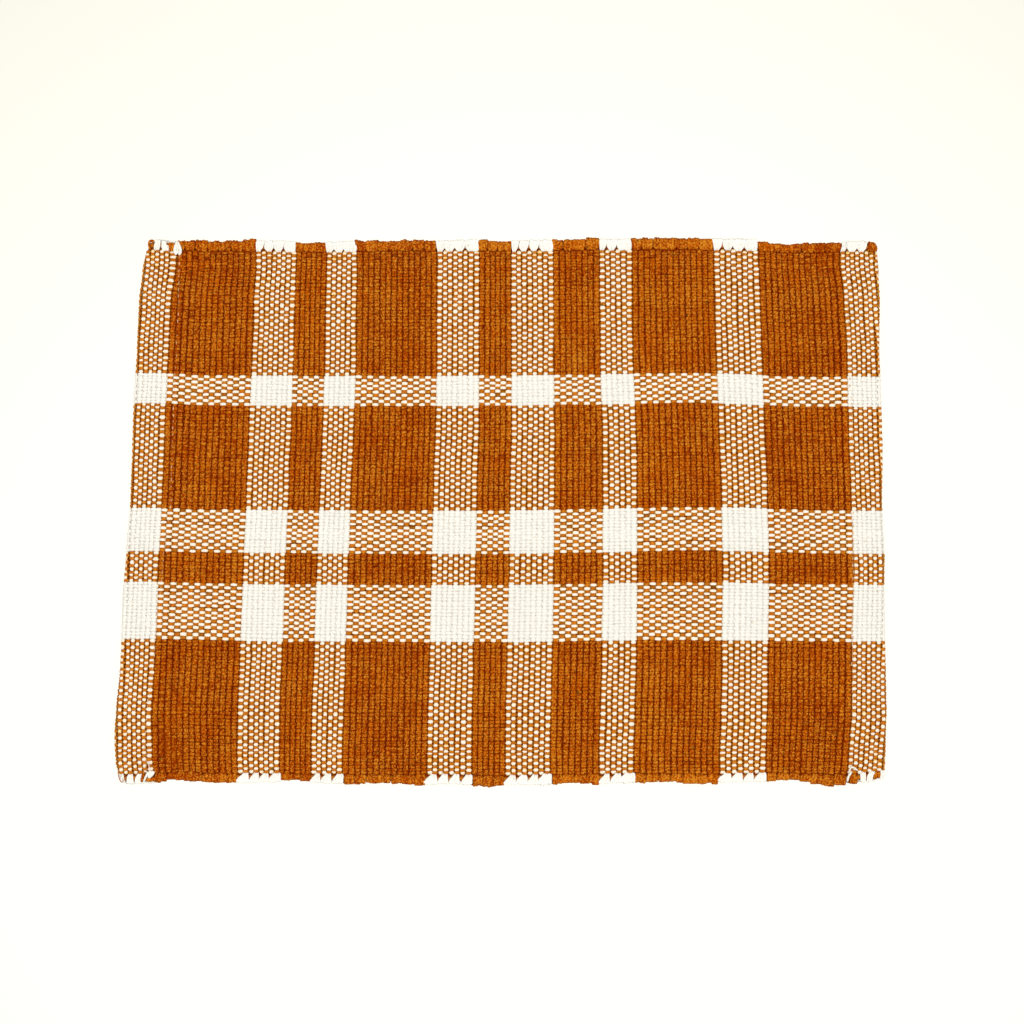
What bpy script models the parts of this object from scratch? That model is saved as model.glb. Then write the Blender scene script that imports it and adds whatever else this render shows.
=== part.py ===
"""Handwoven cotton table mat: one flat rectangle of cloth whose two short ends are turned under once and stitched.

Frame: metres, +X along the long side, +Y along the short side, +Z up. The mat lies on z = 0, and the origin is the middle of its outline.
The cloth is one body. Its section along X is a single ribbon: hem layer, round fold, upper layer, round fold, hem layer.
"""

import math

import bpy

MM = 0.001

# Driving dimensions, in millimetres
CLOTH_THICKNESS = 2.6  # a plain weave of soft, bulky cotton
LAYER_GAP = 0.4  # left between a hem's two layers
HEM_DEPTH_LEFT = 25.0  # from the folded edge to the raw edge underneath
HEM_DEPTH_RIGHT = 21.5
SETTLE_LENGTH = 13.0  # over which the upper layer comes down from the hem to the table
FOLD_STEPS = 8
SETTLE_STEPS = 7
MIDDLE_STEP = 15.0  # widest spacing of the sections between the hems
HEM_STATIONS = 3  # sections along each flat hem layer

# The folded ends, from the far side to the near side: how far across the mat, and where each end's fold lies.
END_COLUMNS = ("y", "left", "right")
END_ROWS = (
    (165.0, -216.0, 229.6),
    (158.0, -217.8, 231.0),
    (146.0, -219.8, 231.6),
    (127.0, -221.6, 232.0),
    (96.0, -222.5, 231.4),
    (67.0, -224.0, 232.2),
    (36.0, -224.5, 232.7),
    (6.0, -225.1, 231.7),
    (-25.0, -227.3, 232.8),
    (-55.0, -229.3, 232.3),
    (-91.0, -229.8, 232.7),
    (-121.0, -232.0, 232.8),
    (-138.0, -233.0, 232.0),
    (-152.0, -231.7, 231.5),
    (-160.0, -230.0, 230.7),
    (-165.0, -228.2, 228.2),
)

# The two woven edges, from left to right: how far along the mat, and where the far and the near edge lie.
EDGE_COLUMNS = ("x", "far", "near")
EDGE_ROWS = (
    (-233.0, 165.0, -164.6),
    (-214.0, 165.4, -165.0),
    (-203.0, 164.8, -163.0),
    (-190.0, 164.2, -163.4),
    (-172.0, 164.7, -164.2),
    (-157.0, 165.0, -164.8),
    (-135.0, 165.2, -164.1),
    (-117.0, 163.7, -164.5),
    (-99.0, 164.6, -165.0),
    (-86.0, 164.8, -166.0),
    (-71.0, 164.5, -165.2),
    (-59.0, 166.0, -165.3),
    (-48.0, 165.2, -166.0),
    (-30.0, 165.2, -165.2),
    (-12.0, 165.9, -166.4),
    (-2.0, 164.8, -166.8),
    (10.0, 165.2, -165.6),
    (30.0, 165.7, -166.0),
    (42.0, 165.5, -164.8),
    (54.0, 166.4, -165.4),
    (72.0, 166.1, -164.7),
    (96.0, 166.8, -164.0),
    (117.0, 166.7, -165.9),
    (130.0, 166.6, -164.7),
    (150.0, 166.2, -164.0),
    (164.0, 164.8, -164.0),
    (175.0, 163.2, -164.1),
    (187.0, 163.2, -164.4),
    (198.0, 163.5, -166.6),
    (208.0, 163.6, -164.9),
    (224.0, 164.0, -163.4),
    (233.0, 163.0, -160.0),
)


def read_row(rows, columns, position, column):
    """A table's column at a position, eased between its two nearest rows."""
    k = columns.index(column)
    ordered = sorted(rows)
    if position <= ordered[0][0]:
        return ordered[0][k]
    for low, high in zip(ordered, ordered[1:]):
        if position <= high[0]:
            t = (position - low[0]) / (high[0] - low[0])
            t = 0.5 * (t + t * t * (3.0 - 2.0 * t))
            return low[k] + (high[k] - low[k]) * t
    return ordered[-1][k]


def end_at(y, side):
    return read_row(END_ROWS, END_COLUMNS, y, side)


def edge_at(x, side):
    return read_row(EDGE_ROWS, EDGE_COLUMNS, x, side)


def ease(t):
    return 0.5 - 0.5 * math.cos(math.pi * t)


def spread(low, high, count):
    """count values from low to high, both included."""
    return [low + (high - low) * i / (count - 1) for i in range(count)]


def end_section(hem_depth):
    """One end's half of the ribbon, from the raw edge underneath to where the upper layer lies on the table.

    Each station is (distance in from the fold, z of the face on the ribbon's outer side, z of the other face,
    distance of the outer face, distance of the inner face), as dictionaries with those names.
    """
    t, gap = CLOTH_THICKNESS, LAYER_GAP
    outer_radius = t + gap / 2.0
    inner_radius = gap / 2.0
    centre_z = outer_radius
    stations = []
    for d in spread(hem_depth, outer_radius, HEM_STATIONS + 1)[:-1]:
        stations.append({"outer": (d, 0.0), "inner": (d, t)})
    for i in range(FOLD_STEPS + 1):
        a = math.pi * i / FOLD_STEPS
        away, up = math.sin(a), -math.cos(a)
        stations.append(
            {
                "outer": (outer_radius * (1.0 - away), centre_z + outer_radius * up),
                "inner": (outer_radius - inner_radius * away, centre_z + inner_radius * up),
            }
        )
    settle_from = hem_depth + 1.0
    for d in spread(outer_radius, settle_from, HEM_STATIONS + 1)[1:]:
        stations.append({"outer": (d, 2.0 * t + gap), "inner": (d, t + gap)})
    for i in range(1, SETTLE_STEPS + 1):
        d = settle_from + SETTLE_LENGTH * i / SETTLE_STEPS
        drop = (t + gap) * ease(i / SETTLE_STEPS)
        stations.append({"outer": (d, 2.0 * t + gap - drop), "inner": (d, t + gap - drop)})
    return stations


def section_at(y):
    """The whole ribbon at one distance across the mat: a list of (outer (x, z), inner (x, z)) in millimetres."""
    left, right = end_at(y, "left"), end_at(y, "right")
    left_part = end_section(HEM_DEPTH_LEFT)
    right_part = end_section(HEM_DEPTH_RIGHT)
    ribbon = [
        (
            (left + s["outer"][0], s["outer"][1]),
            (left + s["inner"][0], s["inner"][1]),
        )
        for s in left_part
    ]
    first = left + left_part[-1]["outer"][0]
    last = right - right_part[-1]["outer"][0]
    widest_span = max(r[2] for r in END_ROWS) - min(r[1] for r in END_ROWS)
    middle_count = int(widest_span / MIDDLE_STEP)
    for x in spread(first, last, middle_count + 1)[1:-1]:
        ribbon.append(((x, CLOTH_THICKNESS), (x, 0.0)))
    for s in reversed(right_part):
        ribbon.append(
            (
                (right - s["outer"][0], s["outer"][1]),
                (right - s["inner"][0], s["inner"][1]),
            )
        )
    return ribbon


def build_cloth():
    """The folded ribbon swept from the near woven edge to the far one, as (vertices, faces)."""
    cuts = sorted(r[0] for r in END_ROWS)
    near_cut, far_cut = cuts[0], cuts[-1]
    vertices, rows = [], []
    for nominal in cuts:
        across = (nominal - near_cut) / (far_cut - near_cut)
        row = []
        for faces in section_at(nominal):
            pair = []
            for x, z in faces:
                near, far = edge_at(x, "near"), edge_at(x, "far")
                pair.append(len(vertices))
                vertices.append((x, near + (far - near) * across, z))
            row.append(tuple(pair))
        rows.append(row)
    faces = []
    for row_a, row_b in zip(rows, rows[1:]):
        for i in range(len(row_a) - 1):
            (oa, ia), (ob, ib) = row_a[i], row_a[i + 1]
            (oc, ic), (od, id_) = row_b[i], row_b[i + 1]
            faces.append((oa, oc, od, ob)[::-1])
            faces.append((ia, ic, id_, ib))
        # the raw edge of each hem
        faces.append((row_a[0][0], row_a[0][1], row_b[0][1], row_b[0][0])[::-1])
        faces.append((row_a[-1][0], row_a[-1][1], row_b[-1][1], row_b[-1][0]))
    for row, far_side in ((rows[0], False), (rows[-1], True)):
        for (oa, ia), (ob, ib) in zip(row, row[1:]):
            quad = (oa, ob, ib, ia)
            faces.append(quad if far_side else quad[::-1])
    xs, ys = [v[0] for v in vertices], [v[1] for v in vertices]
    cx, cy = (min(xs) + max(xs)) / 2.0, (min(ys) + max(ys)) / 2.0
    placed = [((x - cx) * MM, (y - cy) * MM, z * MM) for x, y, z in vertices]
    return placed, faces


def signed_volume(vertices, faces):
    total = 0.0
    for f in faces:
        a = vertices[f[0]]
        for p, q in zip(f[1:], f[2:]):
            b, c = vertices[p], vertices[q]
            total += (
                a[0] * (b[1] * c[2] - b[2] * c[1])
                - a[1] * (b[0] * c[2] - b[2] * c[0])
                + a[2] * (b[0] * c[1] - b[1] * c[0])
            )
    return total / 6.0


def cotton_material():
    material = bpy.data.materials.new("cotton_yarn")
    material.use_nodes = True
    shader = material.node_tree.nodes["Principled BSDF"]
    shader.inputs["Base Color"].default_value = (0.46, 0.13, 0.012, 1.0)
    shader.inputs["Roughness"].default_value = 0.9
    shader.inputs["Metallic"].default_value = 0.0
    material.diffuse_color = (0.46, 0.13, 0.012, 1.0)
    return material


def main():
    for existing in list(bpy.data.objects):
        bpy.data.objects.remove(existing, do_unlink=True)
    vertices, faces = build_cloth()
    if signed_volume(vertices, faces) < 0.0:
        faces = [f[::-1] for f in faces]
    mesh = bpy.data.meshes.new("placemat_cloth")
    mesh.from_pydata(vertices, [], faces)
    mesh.validate()
    mesh.update()
    mesh.materials.append(cotton_material())
    cloth = bpy.data.objects.new("placemat_cloth", mesh)
    bpy.context.scene.collection.objects.link(cloth)


main()
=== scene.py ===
"""Looks of the striped table mat. Each yarn of the plain weave is a tube of its own that passes over and under the yarns it crosses.

Frame: metres, +X along the mat, +Y across it to the far woven edge, +Z up. The tables and the working are in millimetres.
Warp ends run along X and weft picks along Y. A place in the weave is (r, s): r counts warp ends from the far edge's cord (0), and s counts picks
from the left raw edge. q is the distance along the mat with its hems rolled out flat.
"""

import math

import bpy
import numpy as np
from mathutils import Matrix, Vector


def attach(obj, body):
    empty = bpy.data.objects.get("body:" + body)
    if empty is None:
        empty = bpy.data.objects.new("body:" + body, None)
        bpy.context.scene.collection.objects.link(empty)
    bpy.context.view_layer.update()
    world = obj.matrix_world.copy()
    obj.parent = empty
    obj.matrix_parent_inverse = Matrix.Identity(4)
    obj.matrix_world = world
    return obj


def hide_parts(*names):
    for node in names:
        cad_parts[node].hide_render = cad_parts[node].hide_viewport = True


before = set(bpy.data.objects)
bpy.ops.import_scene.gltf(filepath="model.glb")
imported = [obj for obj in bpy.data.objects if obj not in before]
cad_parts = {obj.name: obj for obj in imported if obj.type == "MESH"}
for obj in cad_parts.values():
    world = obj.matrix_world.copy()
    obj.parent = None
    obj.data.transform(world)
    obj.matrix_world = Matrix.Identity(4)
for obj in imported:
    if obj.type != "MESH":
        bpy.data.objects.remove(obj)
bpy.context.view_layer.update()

MM = 0.001
rng = np.random.default_rng(18)

# ---------------------------------------------------------------- the cloth's shape, as in the frame's solid

CLOTH_THICKNESS = 2.6
FOLD_RADIUS = 1.5  # of the cloth's middle where an end turns under
FOLD_CENTRE_Z = 2.8
OUTER_RADIUS = 2.8
HEM_DEPTH_LEFT = 25.0
HEM_DEPTH_RIGHT = 21.5
SETTLE_LENGTH = 13.0

# The folded ends, from the far side to the near side: how far across the mat, and where each end's fold lies.
END_COLUMNS = ("y", "left", "right")
END_ROWS = (
    (165.0, -216.0, 229.6),
    (158.0, -217.8, 231.0),
    (146.0, -219.8, 231.6),
    (127.0, -221.6, 232.0),
    (96.0, -222.5, 231.4),
    (67.0, -224.0, 232.2),
    (36.0, -224.5, 232.7),
    (6.0, -225.1, 231.7),
    (-25.0, -227.3, 232.8),
    (-55.0, -229.3, 232.3),
    (-91.0, -229.8, 232.7),
    (-121.0, -232.0, 232.8),
    (-138.0, -233.0, 232.0),
    (-152.0, -231.7, 231.5),
    (-160.0, -230.0, 230.7),
    (-165.0, -228.2, 228.2),
)

# The two woven edges, from left to right: how far along the mat, and where the far and the near edge lie.
EDGE_COLUMNS = ("x", "far", "near")
EDGE_ROWS = (
    (-233.0, 165.0, -164.6),
    (-214.0, 165.4, -165.0),
    (-203.0, 164.8, -163.0),
    (-190.0, 164.2, -163.4),
    (-172.0, 164.7, -164.2),
    (-157.0, 165.0, -164.8),
    (-135.0, 165.2, -164.1),
    (-117.0, 163.7, -164.5),
    (-99.0, 164.6, -165.0),
    (-86.0, 164.8, -166.0),
    (-71.0, 164.5, -165.2),
    (-59.0, 166.0, -165.3),
    (-48.0, 165.2, -166.0),
    (-30.0, 165.2, -165.2),
    (-12.0, 165.9, -166.4),
    (-2.0, 164.8, -166.8),
    (10.0, 165.2, -165.6),
    (30.0, 165.7, -166.0),
    (42.0, 165.5, -164.8),
    (54.0, 166.4, -165.4),
    (72.0, 166.1, -164.7),
    (96.0, 166.8, -164.0),
    (117.0, 166.7, -165.9),
    (130.0, 166.6, -164.7),
    (150.0, 166.2, -164.0),
    (164.0, 164.8, -164.0),
    (175.0, 163.2, -164.1),
    (187.0, 163.2, -164.4),
    (198.0, 163.5, -166.6),
    (208.0, 163.6, -164.9),
    (224.0, 164.0, -163.4),
    (233.0, 163.0, -160.0),
)

# ---------------------------------------------------------------- the weave's plan

# Weft stripes from left to right. The two end stripes go on under the mat as its hems.
STRIPE_COLUMNS = ("yarn", "picks", "width", "tone")
STRIPE_ROWS = (
    ("cream", 16, 45.3, 0.0),
    ("rust", 14, 50.8, -0.01),
    ("cream", 8, 25.6, 0.0),
    ("rust", 6, 19.3, 0.0),
    ("cream", 6, 19.0, 0.0),
    ("rust", 14, 50.1, 0.0),
    ("cream", 8, 26.4, 0.0),
    ("rust", 6, 19.9, 0.09),
    ("cream", 8, 26.9, 0.0),
    ("rust", 8, 29.4, 0.08),
    ("cream", 6, 20.7, 0.0),
    ("rust", 14, 51.2, 0.11),
    ("cream", 8, 27.9, 0.0),
    ("rust", 14, 50.4, 0.0),
    ("cream", 14, 39.6, 0.0),
)
FIRST_BOUNDARY = -205.5  # between the left end stripe and the first rust one
HEM_PITCH = 2.62  # picks lie closer in the part that is turned under

# Warp bands from the far edge to the near one, between the two edge cords.
BAND_COLUMNS = ("yarn", "ends", "width")
BAND_ROWS = (
    ("rust", 42, 76.3),
    ("cream", 10, 18.7),
    ("rust", 34, 63.5),
    ("cream", 14, 26.5),
    ("rust", 10, 18.8),
    ("cream", 18, 34.5),
    ("rust", 42, 79.3),
)
FIRST_END_EDGE = 158.3  # the far side of the first warp end
FAR_CORD_Y = 161.7
NEAR_CORD_Y = -162.0

# How the picks lean: their distance from the stripes' plan, along six lines of the cloth.
LEAN_LINES = (-205.5, -90.8, 5.6, 82.6, 147.7, 212.1)
LEAN_COLUMNS = ("y", "line 1", "line 2", "line 3", "line 4", "line 5", "line 6")
LEAN_ROWS = (
    (-163.0, -2.4, -4.7, -2.9, -2.5, -1.7, -4.6),
    (-150.0, -3.7, -4.7, -2.9, -2.5, -1.7, -3.2),
    (-124.0, -4.4, -4.0, -2.6, -1.6, -0.7, -1.2),
    (-89.0, -2.9, -3.2, -1.8, -0.5, 0.0, -0.6),
    (-36.0, -1.5, -1.9, -0.6, 0.3, 1.2, 1.3),
    (15.0, 0.5, -0.2, 0.0, 0.3, 0.2, 0.1),
    (51.0, 1.4, 1.1, 0.9, -0.1, -0.9, -0.7),
    (91.0, 2.9, 2.1, 0.8, -1.8, -2.1, -1.2),
    (130.0, 4.2, 2.3, 0.8, -2.1, -3.1, -2.6),
    (150.0, 6.2, 2.4, 0.7, -2.2, -3.3, -4.6),
)

# How the warp ends wave: their distance from straight, along three lines across the cloth.
WAVE_LINES = (73.0, -13.0, -62.0)
WAVE_COLUMNS = ("x", "far line", "middle line", "near line")
WAVE_ROWS = (
    (-213.0, 1.1, 0.9, 1.8),
    (-182.0, 0.1, 0.2, 0.9),
    (-140.0, -0.1, -0.1, -0.1),
    (-65.0, -0.4, -0.6, -0.4),
    (-5.0, -0.1, -0.7, -0.5),
    (46.0, 0.5, 0.2, 0.0),
    (95.0, 1.2, 1.2, 0.8),
    (115.0, 1.8, 1.8, 0.9),
    (145.0, 1.0, 1.3, 0.5),
    (175.0, -0.4, 0.3, 0.2),
    (223.0, -1.2, -0.8, -0.3),
)

# Where each hem is stitched down
STITCH_COLUMNS = ("y", "left", "right")
STITCH_ROWS = (
    (-155.0, -212.6, 211.0),
    (-139.0, -213.7, 211.2),
    (-122.0, -212.4, 211.6),
    (-95.0, -209.2, 211.9),
    (-34.0, -204.5, 213.0),
    (5.0, -199.9, 213.4),
    (36.0, -199.6, 214.0),
    (66.0, -198.8, 213.0),
    (97.0, -197.8, 211.6),
    (128.0, -196.7, 211.9),
    (154.0, -196.5, 212.2),
)

# Yarn sections
WARP_WIDTH, WARP_THICKNESS, WARP_LIFT = 2.10, 1.14, 0.75
WEFT_SHARE, WEFT_THICKNESS, WEFT_LIFT = 1.0, 1.46, 0.55  # a pick's width is this share of its spacing
CORD_WIDTH, CORD_THICKNESS = 3.3, 1.5

# A yarn's rings where it passes over another, beneath it, and where neither shows: how far from the crossing, and shares of the yarn's lift, width
# and thickness. A float is round at its ends, and a yarn beneath another is pressed thin.
RING_COLUMNS = ("place", "lift", "width", "thickness")
WEFT_OVER = ((-0.27, 0.82, 0.82, 0.92), (0.0, 1.0, 1.13, 1.0), (0.27, 0.82, 0.82, 0.92))
WEFT_UNDER = ((0.0, -1.30, 0.74, 0.75),)
WARP_OVER = ((-0.18, 1.0, 1.0, 1.0), (0.18, 1.0, 1.0, 1.0))
WARP_UNDER = ((0.0, -1.45, 0.62, 0.45),)
BURIED_OVER, BURIED_UNDER = ((0.0, 1.0, 0.95, 0.9),), ((0.0, -1.0, 0.95, 0.9),)
FOLD_OVER = ((-0.33, 0.86, 0.9, 1.0), (0.0, 1.0, 1.0, 1.0), (0.33, 0.86, 0.9, 1.0))
FOLD_UNDER = ((-0.33, -0.86, 0.9, 0.9), (0.0, -1.0, 1.0, 0.9), (0.33, -0.86, 0.9, 0.9))


# ---------------------------------------------------------------- reading the tables


def column(rows, columns, name):
    ordered = sorted(rows)
    return np.array([r[columns.index(name)] for r in ordered], dtype=float)


def eased(position, rows, columns, name):
    """A table's column at each position, eased between its rows as the frame's solid does."""
    keys, values = column(rows, columns, columns[0]), column(rows, columns, name)
    p = np.clip(position, keys[0], keys[-1])
    k = np.clip(np.searchsorted(keys, p, side="right") - 1, 0, len(keys) - 2)
    t = (p - keys[k]) / (keys[k + 1] - keys[k])
    t = 0.5 * (t + t * t * (3.0 - 2.0 * t))
    return values[k] + (values[k + 1] - values[k]) * t


def spread_over(lines, position, values):
    """Values given on a few parallel lines, taken linearly between them. lines rise; values has one array per line."""
    total = 0.0
    for k in range(len(lines)):
        unit = [1.0 if n == k else 0.0 for n in range(len(lines))]
        total = total + np.interp(position, lines, unit) * values[k]
    return total


SHIFT_X = -0.5 * (min(r[1] for r in END_ROWS) + max(r[2] for r in END_ROWS))


def far_edge(x):
    return eased(x, EDGE_ROWS, EDGE_COLUMNS, "far")


def near_edge(x):
    return eased(x, EDGE_ROWS, EDGE_COLUMNS, "near")


def left_end(y):
    return eased(y, END_ROWS, END_COLUMNS, "left")


def right_end(y):
    return eased(y, END_ROWS, END_COLUMNS, "right")


def lean(q_ref, y):
    lines = [eased(y, LEAN_ROWS, LEAN_COLUMNS, c) for c in LEAN_COLUMNS[1:]]
    return spread_over(LEAN_LINES, q_ref, lines)


def wave(x, y_ref):
    inner = [eased(x, WAVE_ROWS, WAVE_COLUMNS, c) for c in WAVE_COLUMNS[1:]]
    far = 0.6 * sum(far_edge(x + d) - 165.2 for d in (-12.0, 0.0, 12.0)) / 3.0
    near = 0.6 * sum(near_edge(x + d) + 165.0 for d in (-12.0, 0.0, 12.0)) / 3.0
    positions = (-158.0,) + WAVE_LINES[::-1] + (158.0,)
    return spread_over(positions, y_ref, [near] + inner[::-1] + [far])


def ribbon(q, y):
    """The cloth's middle at each rolled-out place: points (x, y, z) and the face's normals."""
    q, y = np.broadcast_arrays(np.asarray(q, float), np.asarray(y, float))
    left, right = left_end(y), right_end(y)
    axis_l, axis_r = left + OUTER_RADIUS, right - OUTER_RADIUS
    x = np.clip(q, axis_l, axis_r)
    high = FOLD_CENTRE_Z + FOLD_RADIUS
    drop = high - 0.5 * CLOTH_THICKNESS
    u_l = np.clip((x - left - HEM_DEPTH_LEFT - 1.0) / SETTLE_LENGTH, 0.0, 1.0)
    u_r = np.clip((right - x - HEM_DEPTH_RIGHT - 1.0) / SETTLE_LENGTH, 0.0, 1.0)
    u = np.minimum(u_l, u_r)
    z = high - drop * (0.5 - 0.5 * np.cos(np.pi * u))
    slope = drop * 0.5 * np.pi / SETTLE_LENGTH * np.sin(np.pi * u)
    tilt = np.arctan(np.where(u_l <= u_r, -slope, slope))
    for past, way in ((axis_l - q, -1.0), (q - axis_r, 1.0)):
        turn = np.clip(past / FOLD_RADIUS, 0.0, np.pi)
        x = x + way * FOLD_RADIUS * np.sin(turn) - way * np.maximum(past - np.pi * FOLD_RADIUS, 0.0)
        z = z + FOLD_RADIUS * (np.cos(turn) - 1.0)
        tilt = tilt - way * turn
    points = np.stack([x + SHIFT_X, y, z], axis=-1)
    normals = np.stack([-np.sin(tilt), np.zeros_like(tilt), np.cos(tilt)], axis=-1)
    return points, normals


# ---------------------------------------------------------------- where every yarn crosses every other


def lay_out_picks():
    """Each pick's rolled-out place at y = 15, its spacing, yarn and tone."""
    place, pitch, yarn, tone = [], [], [], []
    edge = FIRST_BOUNDARY
    for number, (kind, count, width, shade) in enumerate(STRIPE_ROWS):
        steps = np.full(count, width / count)
        if number == 0:
            steps[: count // 2] = HEM_PITCH
            steps[count // 2 :] = 2.86
            steps[-1] = 3.5
            edge -= steps.sum()
        elif number == len(STRIPE_ROWS) - 1:
            steps[: count // 2] = 2.92
            steps[count // 2 :] = HEM_PITCH
        else:
            steps = steps * (1.0 + 0.035 * rng.standard_normal(count))
            steps[0] *= 1.05
            steps[-1] *= 1.05
            steps *= width / steps.sum()
        place.extend(edge + np.cumsum(steps) - 0.5 * steps)
        pitch.extend(steps)
        yarn.extend([kind] * count)
        tone.extend([shade] * count)
        edge += steps.sum()
    return np.array(place), np.array(pitch), yarn, np.array(tone)


def lay_out_ends():
    """Each warp end's place across the cloth, with an edge cord first and last."""
    place, pitch, yarn = [FAR_CORD_Y], [3.6], ["cord"]
    edge = FIRST_END_EDGE
    for number, (kind, count, width) in enumerate(BAND_ROWS):
        steps = 1.0 + 0.13 * rng.standard_normal(count)
        steps = np.clip(steps, 0.72, 1.32)
        if number == 0:
            steps[:3] = (0.74, 0.8, 0.9)
        if number == len(BAND_ROWS) - 1:
            steps[-3:] = (0.95, 0.9, 0.85)
        steps *= width / steps.sum()
        place.extend(edge - np.cumsum(steps) + 0.5 * steps)
        pitch.extend(steps)
        yarn.extend([kind] * count)
        edge -= steps.sum()
    place.append(NEAR_CORD_Y)
    pitch.append(3.6)
    yarn.append("cord")
    return np.array(place), np.array(pitch), yarn


def wander(shape, axis, reach, size):
    """Smooth seeded wandering along one axis, apart for each yarn."""
    noise = rng.standard_normal(shape)
    kernel = np.hanning(reach + 2)[1:-1]
    kernel /= math.sqrt((kernel**2).sum())
    smooth = np.apply_along_axis(lambda row: np.convolve(row, kernel, mode="same"), axis, noise)
    return size * smooth


PICK_Q, PICK_PITCH, PICK_YARN, PICK_TONE = lay_out_picks()
END_Y, END_PITCH, END_YARN = lay_out_ends()
PICKS, ENDS = len(PICK_Q), len(END_Y)

GRID_Y = np.repeat(END_Y[:, None], PICKS, axis=1)
for _ in range(4):
    GRID_Q = PICK_Q[None, :] + lean(np.broadcast_to(PICK_Q[None, :], GRID_Y.shape), GRID_Y)
    GRID_Y = END_Y[:, None] + wave(ribbon(GRID_Q, GRID_Y)[0][..., 0] - SHIFT_X, END_Y[:, None])
GRID_Q = GRID_Q + wander(GRID_Q.shape, 0, 19, 0.13) + 0.07 * rng.standard_normal(GRID_Q.shape)
GRID_Y = GRID_Y + wander(GRID_Y.shape, 1, 15, 0.08) + 0.17 * rng.standard_normal(GRID_Y.shape)


def crowding(y):
    """How strongly the last cream pick of the left end spreads beside the far corner, where it pushes the first rust picks aside."""
    return np.clip((y - 125.0) / 25.0, 0.0, 1.0)


WIDE_PICK = 15
for pick, push in ((WIDE_PICK, 0.7), (WIDE_PICK + 1, 1.2), (WIDE_PICK + 2, 0.5)):
    GRID_Q[:, pick] += push * crowding(GRID_Y[:, pick])

# The pick number at which each warp end reaches its folds
FOLDS = []
for i in range(ENDS):
    numbers = np.arange(PICKS)
    axis_l = left_end(GRID_Y[i, 10]) + OUTER_RADIUS
    axis_r = right_end(GRID_Y[i, -10]) - OUTER_RADIUS
    reach = np.pi * FOLD_RADIUS
    FOLDS.append(
        {
            "left low": np.interp(axis_l - reach, GRID_Q[i], numbers),
            "left high": np.interp(axis_l, GRID_Q[i], numbers),
            "right high": np.interp(axis_r, GRID_Q[i], numbers),
            "right low": np.interp(axis_r + reach, GRID_Q[i], numbers),
        }
    )


def weft_is_over(i, j):
    return (i + j) % 2 == 0


# ---------------------------------------------------------------- yarn tubes

FIVE_SIDES = np.array([(-0.5, -0.06), (-0.34, 0.46), (0.34, 0.46), (0.5, -0.06), (0.0, -0.5)])
FOUR_SIDES = np.array([(-0.5, 0.0), (0.0, 0.5), (0.5, 0.0), (0.0, -0.5)])


def unit(v):
    return v / np.maximum(np.linalg.norm(v, axis=-1, keepdims=True), 1e-9)


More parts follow.
